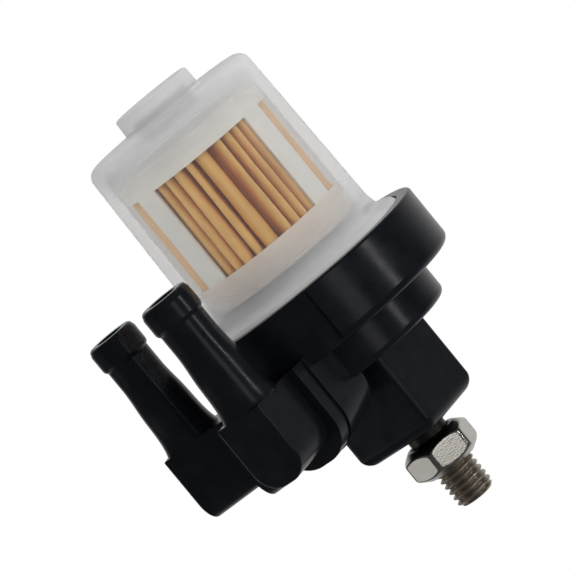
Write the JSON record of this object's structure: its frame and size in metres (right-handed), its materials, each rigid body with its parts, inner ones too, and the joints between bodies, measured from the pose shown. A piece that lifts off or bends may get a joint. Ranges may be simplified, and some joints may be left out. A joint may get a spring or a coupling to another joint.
{
  "type": "fuel filter",
  "caption": "In-line fuel filter with a screw-on clear bowl, pleated paper element, black head, parallel hose elbows and a threaded mounting stud with its nut.",
  "frame": {"origin": "centre of the head's square end face, where the stud comes out and the bracket sits", "axes": "+Z along the stud, away from the bowl, which hangs down; +X and +Y square to it, the inlet elbow 35.5 degrees round from +X towards +Y"},
  "size_m": [0.0627, 0.0667, 0.0949],
  "materials": {
    "black_nylon": "semi-gloss glass-filled nylon",
    "clear_plastic": "milky translucent",
    "zinc_steel": "bright zinc-plated",
    "white_plastic": "satin",
    "filter_paper": "matt resin-treated paper",
    "potting": "cured adhesive",
    "black_rubber": "smooth nitrile"
  },
  "bodies": {
    "head": {"head_body": "black_nylon", "mounting_stud": "zinc_steel", "inlet_elbow": "black_nylon", "outlet_elbow": "black_nylon", "inlet_port_seal": "black_rubber", "outlet_port_seal": "black_rubber"},
    "nut": {"mounting_nut": "zinc_steel"},
    "bowl_seal": {"bowl_seal": "black_rubber"},
    "bowl": {"bowl": "clear_plastic"},
    "element": {"element_frame": "white_plastic", "element_end_cap": "white_plastic", "potting_end": "potting", "potting_head": "potting", "pleated_paper": "filter_paper", "centre_tube": "white_plastic", "element_grommet": "black_rubber"}
  },
  "joints": [
    {"name": "nut_run_off", "type": "slide", "parent": "head", "child": "nut", "axis": [0, 0, 1], "range_m": [-0.0021, 0.03]},
    {"name": "bowl_lift_off", "type": "slide", "parent": "head", "child": "bowl_seal", "axis": [0, 0, -1], "range_m": [0, 0.062]},
    {"name": "bowl_turn", "type": "hinge", "parent": "bowl_seal", "child": "bowl", "pos_m": [0, 0, -0.05], "axis": [0, 0, -1], "range_deg": [0, 900]},
    {"name": "element_pull_off", "type": "slide", "parent": "head", "child": "element", "axis": [0, 0, -1], "range_m": [0, 0.031]}
  ],
  "couplings": [
    {"joint": "bowl_turn", "follows": "bowl_lift_off", "rad_per_m": 253.33},
    {"joint": "element_pull_off", "follows": "bowl_lift_off", "ratio": 0.5}
  ]
}
